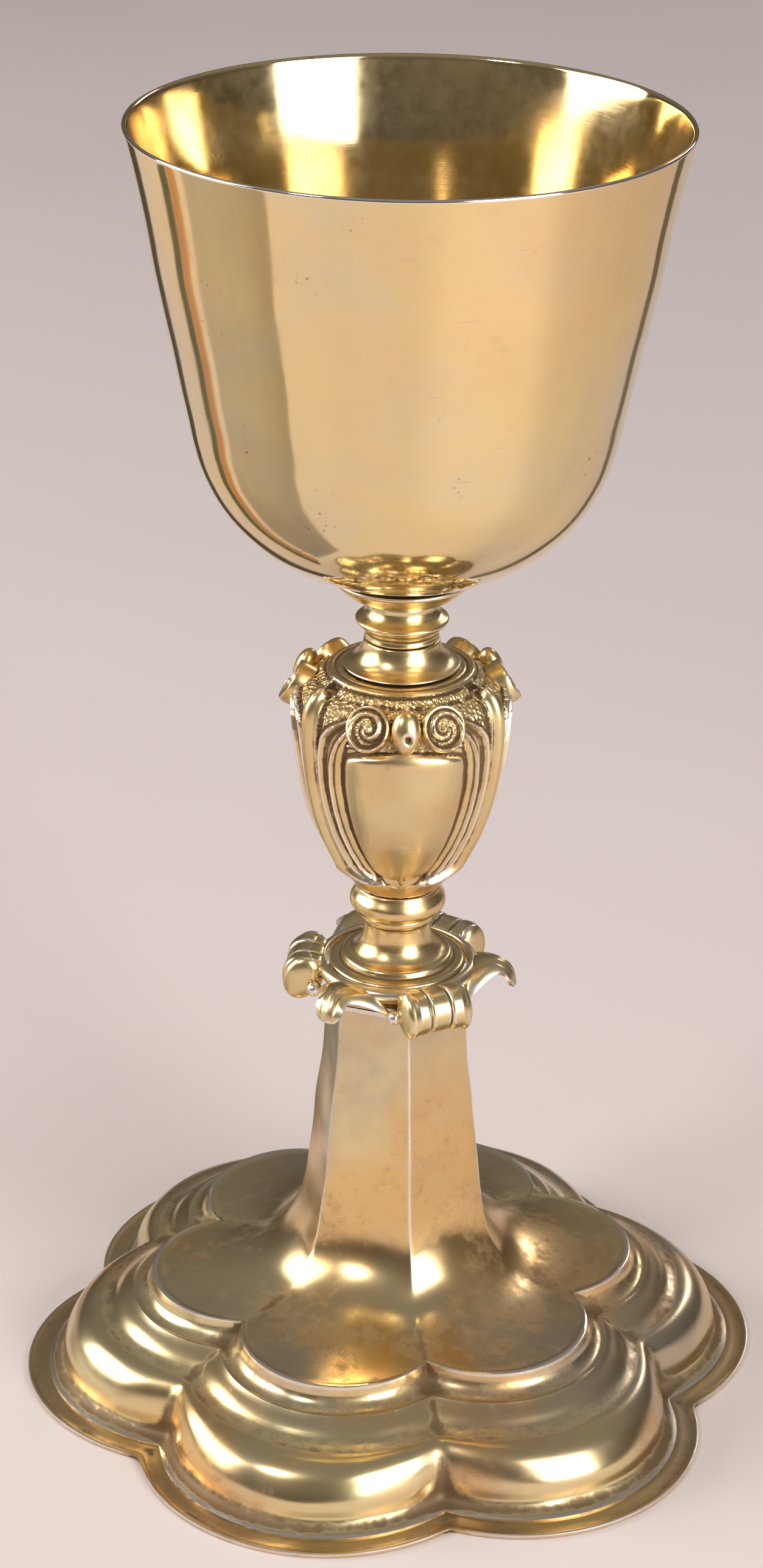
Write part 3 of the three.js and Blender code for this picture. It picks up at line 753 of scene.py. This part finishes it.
relief_line = [(0, 0.3), (12, 0.26), (22, 0.08), (28, -0.16), (32, -0.5), (34.2, -0.95), (35.4, -1.55),
               (36.5, -1.5), (37.4, -0.9), (38.4, -0.66), (40.4, -0.5), (41.3, -0.1), (42.1, 0.2),
               (42.8, -0.1), (43.7, -0.8), (45.2, -1.15), (47.5, -1.15), (49.3, -0.8), (50.3, -0.2),
               (51.1, 0.06), (51.9, -0.35), (52.7, -1.2), (54.0, -1.4), (54.7, -1.1), (55.2, -0.6),
               (55.8, -0.62), (56.3, -0.3), (57.3, 0.36), (58.6, 0.68), (60.0, 0.78)]
GROUND = -1.25
COLLAR_REACH = 12.95
POINT, POINT_TOP = 102.4, 107.0
POINT_MARK, PANEL_RIM, STRAP_MARK = 35.5, 36.5, 54.8
SHOULDER = 131.6
close_in = [(0.0, 0.12), (0.02, 0.42), (0.06, 0.6), (0.12, 0.72), (0.2, 0.82), (0.3, 0.9), (0.45, 0.97),
            (0.6, 1.01), (0.78, 1.03), (0.92, 1.01), (1.0, 0.97), (1.1, 0.88), (1.25, 0.84)]


def along_line(line, at):
    for (a, first), (b, second) in zip(line, line[1:]):
        if at <= b:
            return first + (second - first) * max(0.0, (at - a) / (b - a))
    return line[-1][1]


def column_mark(column):
    """Which line of the relief a column of the mesh follows, closer together over the bands."""
    if column <= PANEL_COLUMNS:
        return PANEL * column / PANEL_COLUMNS
    return PANEL + (LAST - PANEL) * (column - PANEL_COLUMNS) / (HALF_COLUMNS - PANEL_COLUMNS)


def swept_angle(mark, height):
    """The angle of a line of the relief at a height: all close in to a rounded point at the bottom."""
    tip = 102.0 - 2.7 * (mark - PANEL) / 16.5
    rise = max(0.0, (height - tip) / (FRAME_TOP - tip))
    return mark * (1 + (along_line(close_in, min(1.25, rise)) - 1) * (1 - smooth_step(mark, 42, 60)))


def relief_mark(mark, height, above):
    """The line of the relief that shows at a spot: the lines close round the panel's top and its point."""
    if above > 0:
        return min(54.0, math.hypot(mark, 6.3 * above)) if mark < 53 else mark
    if height < POINT:
        return max(mark, POINT_MARK + (POINT - height) * 5)
    if height < POINT_TOP:
        return math.hypot(mark, POINT_MARK * (1 - (height - POINT) / (POINT_TOP - POINT)) ** 1.4)
    return mark


def knop_relief(mark, seen, angle, radius, above):
    """How far the relief stands off the vase at a spot, and how much it is punched there."""
    lift = along_line(relief_line, seen)
    ground = float(52.2 < seen < 55.0)
    if above > 0:
        if seen < PANEL_RIM:
            lift = -0.9
        if mark < 53 and seen > 41:
            lift = GROUND + (lift - GROUND) * smooth_step(abs(angle), 6, 20)
        lift = max(lift, GROUND + 0.95 * (1 - smooth_step(radius, 13.4, 15.4)))
        if mark < 54.6 and not PANEL_RIM <= seen <= 52.5:
            ground = 1.0
    elif mark < 36:
        ledge = 33.2 * smooth_step(above, -3.4, 0.2)
        lift = along_line(relief_line, min(36.0, math.hypot(seen, ledge)))
    if mark > STRAP_MARK:
        strap_end = 9.9 - 1.5 * (abs(mark - LAST) / 5) ** 2
        keep = 1 - smooth_step(above, strap_end - 1.4, strap_end)
        lift = GROUND + (lift - GROUND) * keep
        ground = max(ground, 1 - keep)
    return lift, ground


shoulder_start = min(range(len(knop_outside)), key=lambda i: abs(knop_outside[i][1] - SHOULDER)
                     + (100 if knop_outside[i][0] < 15 else 0))
knop_climb = [0.0]
for a, b in zip(knop_outside, knop_outside[1:]):
    knop_climb.append(knop_climb[-1] + math.hypot(b[0] - a[0], b[1] - a[1]))
knop_bm = spun(knop_outside + knop_inside, 6 * HALF_COLUMNS)
row_layer = knop_bm.verts.layers.float["row"]
punched = knop_bm.verts.layers.float.new("punched")
for vertex in knop_bm.verts:
    index = round(vertex[row_layer])
    whole, radius, height = polar(vertex)
    whole = math.degrees(whole)
    side = 1 if whole % THIRD <= THIRD / 2 else -1
    off = min(whole % THIRD, THIRD - whole % THIRD)
    base_turn = round((whole - side * off) / THIRD)
    angle = mark = column_mark(round(off / (THIRD / 2) * HALF_COLUMNS))
    if index < len(knop_outside):
        a, b = knop_outside[max(0, index - 1)], knop_outside[min(len(knop_outside) - 1, index + 1)]
        tangent = Vector((b[0] - a[0], b[1] - a[1])).normalized()
        angle = swept_angle(mark, height)
        above = knop_climb[index] - knop_climb[shoulder_start]
        lift, ground = knop_relief(mark, relief_mark(mark, height, above), angle, radius, above)
        bottom = smooth_step(height, 100.4, 104.8)
        top = smooth_step(radius, COLLAR_REACH, COLLAR_REACH + 0.4) if above > 0 else 1.0
        vertex[punched] = ground * top * bottom
        rough = noise.noise(Vector((angle * 0.9 + 40 * base_turn, height * 2.2, above)) * 0.8)
        uneven = noise.noise(Vector((angle * 0.15 + base_turn * 9, height * 0.3, 3)))
        lift = lift * bottom * top - 0.1 * (1 - bottom) + 0.14 * rough * ground * top + 0.05 * uneven
        radius += tangent.y * lift
        height -= tangent.x * lift
    place_round(vertex, math.radians(base_turn * THIRD + side * angle) + KNOP_TURN, radius, height)
bmesh.ops.recalc_face_normals(knop_bm, faces=knop_bm.faces)


def volute(side):
    """One scroll end: a disc with a wall, and a ridge that winds in to an eye. It faces along +X."""
    bm = bmesh.new()
    reach, windings = 3.9, 1.2
    profile = [(0.0, 0.0), (reach - 0.4, 0.0), None, (reach - 0.14, -0.12), (reach, -0.4),
               (reach + 0.05, -1.2), (reach - 0.1, -3.2)]
    swept(bm, [bm.verts.new((h * MM, 0, r * MM)) for r, h in curve_through(profile, 0.16)], (1, 0, 0), 72)
    bmesh.ops.holes_fill(bm, edges=[e for e in bm.edges if e.is_boundary])
    bmesh.ops.recalc_face_normals(bm, faces=bm.faces)
    mark = bm.verts.layers.float.new("punched")
    for vertex in bm.verts:
        away = math.hypot(vertex.co.y, vertex.co.z) / MM
        if vertex.co.x < -1.0 * MM:
            continue
        turn = (math.atan2(vertex.co.z, side * vertex.co.y) - math.radians(200)) % (2 * math.pi)
        ridge = 0.0
        for lap in range(3):
            wound = (turn + lap * 2 * math.pi) / (2 * math.pi)
            if wound > windings + 0.25:
                continue
            path = (reach - 0.3) * (1 - wound / (windings + 0.3)) ** 0.8 + 0.35
            ridge = max(ridge, math.exp(-((away - path) / 0.36) ** 2))
        eye = math.exp(-(away / 0.75) ** 2)
        lift = 0.7 * ridge + 0.75 * eye - 0.7 * smooth_step(reach - away, 0.2, 0.9) + 0.1
        lift *= 1 if away < reach - 0.1 else 0.6
        vertex.co.x += lift * MM
        vertex[mark] = max(0.0, 1 - 1.6 * ridge - 1.4 * eye) if away < reach - 0.4 else 0.0
    return bm


VOLUTE_ASIDE, VOLUTE_TILT = math.radians(20.2), math.radians(-25)
VOLUTE_PLACE = Vector((19.35, 0, 136.3)) * MM
BUD_PLACE, BUD_TILT = Vector((18.9, 0, 135.9)) * MM, math.radians(-14)
BUD_SIZE = Vector((2.1, 2.6, 3.9)) * MM
for k in range(3):
    middle = KNOP_TURN + math.radians(THIRD * k)
    for side in (-1, 1):
        gathered(knop_bm, volute(side), around(middle + side * VOLUTE_ASIDE)
                 @ Matrix.Translation(VOLUTE_PLACE) @ Matrix.Rotation(VOLUTE_TILT, 4, "Y")
                 @ Matrix.Diagonal((1, 1, 1.04, 1)))
    bud_bm = bmesh.new()
    bmesh.ops.create_uvsphere(bud_bm, u_segments=48, v_segments=32, radius=1.0)
    for vertex in bud_bm.verts:
        x, y, z = vertex.co
        hole = math.exp(-(((y - 0.12) / 0.2) ** 2 + ((z + 0.28) / 0.14) ** 2)) if x > 0 else 0
        narrow = 1 - 0.18 * smooth_step(-z, 0.1, 1)
        vertex.co = (x * BUD_SIZE.x - 1.1 * hole * MM, y * narrow * BUD_SIZE.y, z * BUD_SIZE.z)
    gathered(knop_bm, bud_bm, around(middle) @ Matrix.Translation(BUD_PLACE)
             @ Matrix.Rotation(BUD_TILT, 4, "Y"))
knop = piece_from(knop_bm, "cast_vase_knop", cast_gilding, reach=0.085, sharp=60)
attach(knop, "knop")
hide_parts("knop")

# The upper spool: a turned flare that stands inside the two-step ring on the knop's shoulder.
turned("upper_spool", [
    (BORE, 140.9), None, (10.3, 140.9), (10.4, 141.1), (10.3, 141.3), None, (9.9, 141.35), (8.9, 141.75),
    (8.0, 142.5), (7.3, 143.5), (6.85, 144.6), (6.6, 145.7), None, (BORE, 145.7),
], "upper_spool", "upper_spool", turned_gilding)

# The neck collar: a short turned neck with one knife-edged ring, rubbed to silver along its edge, and a
# fine bead under it.
turned("neck_collar", [
    (BORE, 146.0), None, (6.55, 146.0), (6.35, 146.7), (6.3, 147.3), None, (6.65, 147.4), (6.8, 147.65),
    (6.65, 147.9), None, (6.7, 148.05), (7.4, 148.45), (8.0, 148.95), (8.2, 149.3), (8.1, 149.6),
    (7.4, 150.0), (6.7, 150.4), None, (6.3, 150.9), (5.95, 151.5), (5.85, 152.1), (5.95, 152.7), None,
    (BORE, 152.7),
], "neck_collar", "neck_collar", turned_gilding)

# The saucer: a dished two-step plate soldered under the cup, which spreads its weight on the collar.
turned("cup_saucer", [
    (3.1, 153.0), None, (6.6, 153.0), (7.6, 153.4), (8.4, 154.0), None, (8.9, 154.05), (10.2, 154.9),
    (11.4, 156.0), (12.3, 157.0), (12.4, 157.35), (12.1, 157.6), None, (10.8, 157.0), (8.0, 156.3),
    (3.1, 155.95),
], "bowl_saucer", "cup", turned_gilding)

# The bowl: raised from one sheet about a millimetre thick, gilt inside and out and burnished on the lathe,
# so it shows fine lines round it. Years of cleaning left scratches, with pits under the curve.
bowl_gilding = metal(
    "burnished bowl gilding", 0.02, Gilt=(0.86, 0.68, 0.34, 1), Cloud=(0.70, 0.62, 0.50, 1),
    Warm=(0.88, 0.60, 0.28, 1), Silver=(0.88, 0.84, 0.79, 1), Tarnish=(0.16, 0.10, 0.07, 1),
    Silver_Wear=0.9, Grime=0.22, Clouding=0.45, Warmth=0.6, Pits=0.8, Scratches=0.85, Lines=0.4,
    Roughness=0.075)
BOWL_STEPS = 240
bowl_outside = [(0, 156.3), (6, 156.7), (12, 158.3), (17.4, 160.2), (22, 162.6), (26, 165.4),
                (29, 168.4), (31.6, 171.8), (33.5, 175.2), (35.1, 179.2), (36.2, 183.4), (37.1, 187.8),
                (38, 192), (39.4, 199), (40.9, 206), (42.3, 213), (43.5, 220), (44.7, 226), (45.8, 231),
                (46.95, 235.9)]
bowl_rim = [(47.0, 236.2), (46.8, 236.48), (46.4, 236.42), (46.1, 236.0)]
bowl_inside = [(45.0, 231.2), (43.9, 226.2), (42.6, 220.2), (41.3, 213.2), (39.9, 206.2), (38.4, 199.2),
               (37.0, 192.2), (36.1, 188.0), (35.2, 183.7), (34.1, 179.6), (32.6, 175.7), (30.7, 172.4),
               (28.2, 169.1), (25.3, 166.2), (21.4, 163.5), (17.0, 161.2), (11.8, 159.3), (5.9, 157.8),
               (0, 157.3)]
bowl_line = (curve_through(bowl_outside[:-1], 0.8)[:-1]
             + curve_through([bowl_outside[-2], bowl_outside[-1], *bowl_rim, bowl_inside[0]], 0.25)[:-1]
             + curve_through(bowl_inside, 0.9))
bowl_bm = spun(bowl_line, BOWL_STEPS)
for vertex in bowl_bm.verts:
    # Hammer and stake leave the wall a hair out of round.
    turn, reach, _ = polar(vertex)
    wave = noise.noise(Vector((math.cos(turn) * 1.3, math.sin(turn) * 1.3, vertex.co.z * 22)))
    widen(vertex, 1 + 0.0028 * wave * min(1.0, reach / 20))
bowl = piece_from(bowl_bm, "raised_bowl", bowl_gilding, reach=0.1, sharp=60)
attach(bowl, "cup")
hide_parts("bowl")

# The tie rod: a plain brass rod soldered into the saucer. It holds the whole stack together, and its last
# part is cut with a one-millimetre thread.
fixing_brass = metal(
    "dull brass", 0.03, Gilt=(0.62, 0.44, 0.2, 1), Cloud=(0.42, 0.30, 0.16, 1), Warm=(0.56, 0.32, 0.12, 1),
    Silver=(0.78, 0.62, 0.36, 1), Tarnish=(0.07, 0.045, 0.02, 1), Silver_Wear=0.8, Grime=0.9, Clouding=0.9,
    Warmth=0.5, Pits=0.8, Scratches=0.5, Lines=0.3, Roughness=0.36)
ROD, ROD_END, ROD_TOP = 3.0, 62.0, 155.9
PITCH, THREAD_TOP = 1.0, 76.0
rod_line = curve_through([(0, ROD_END), None, (2.3, ROD_END), None, (ROD, ROD_END + 0.7), None,
                          (ROD, THREAD_TOP), None, (ROD, ROD_TOP), None, (0, ROD_TOP)], 0.1)
rod_line = [p for i, p in enumerate(rod_line) if p[1] < THREAD_TOP + 1 or i % 40 == 0 or p[0] < ROD - 0.01]
rod_bm = spun(rod_line, 40)
for vertex in rod_bm.verts:
    turn, reach, height = polar(vertex)
    if ROD_END + 0.3 < height < THREAD_TOP and reach > 2:
        tooth = abs((height / PITCH - turn / (2 * math.pi)) % 1.0 - 0.5) * 2
        depth = 0.5 * tooth * min(1.0, THREAD_TOP - height, (height - ROD_END - 0.2) / 0.6)
        widen(vertex, 1 - depth / reach)
rod = piece_from(rod_bm, "threaded_tie_rod", fixing_brass, reach=0.15, sharp=50)
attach(rod, "cup")
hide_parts("tie_rod")

# The washer: a turned brass ring that spreads the nut's pull over the stem plate.
turned("washer", [
    (BORE, 75.8), None, (7.7, 75.8), None, (8.0, 76.05), None, (8.0, 77.05), None, (7.7, 77.3), None,
    (BORE, 77.3),
], "washer", "washer", fixing_brass, rounds=1, steps=96)

# The nut: a six-sided brass nut, chamfered top and bottom, run up the thread from inside the foot.
NUT_FLATS = 11.0
nut_bm = spun(closed_outline([
    (BORE, 71.1), None, (BORE + 0.6, 70.5), None, (5.3, 70.5), None, (6.35, 71.0), None, (6.35, 75.0), None,
    (5.3, 75.5), None, (BORE + 0.6, 75.5), None, (BORE, 74.9)], 0.25, 1), 144)
for vertex in nut_bm.verts:
    turn, reach, _ = polar(vertex)
    flat = hexagon_reach(NUT_FLATS / math.sqrt(3), from_lobe(turn, 0.8))
    widen(vertex, min(1.0, flat / reach))
nut = piece_from(nut_bm, "hexagon_nut", fixing_brass, reach=0.15, sharp=30)
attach(nut, "nut")
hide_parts("nut")
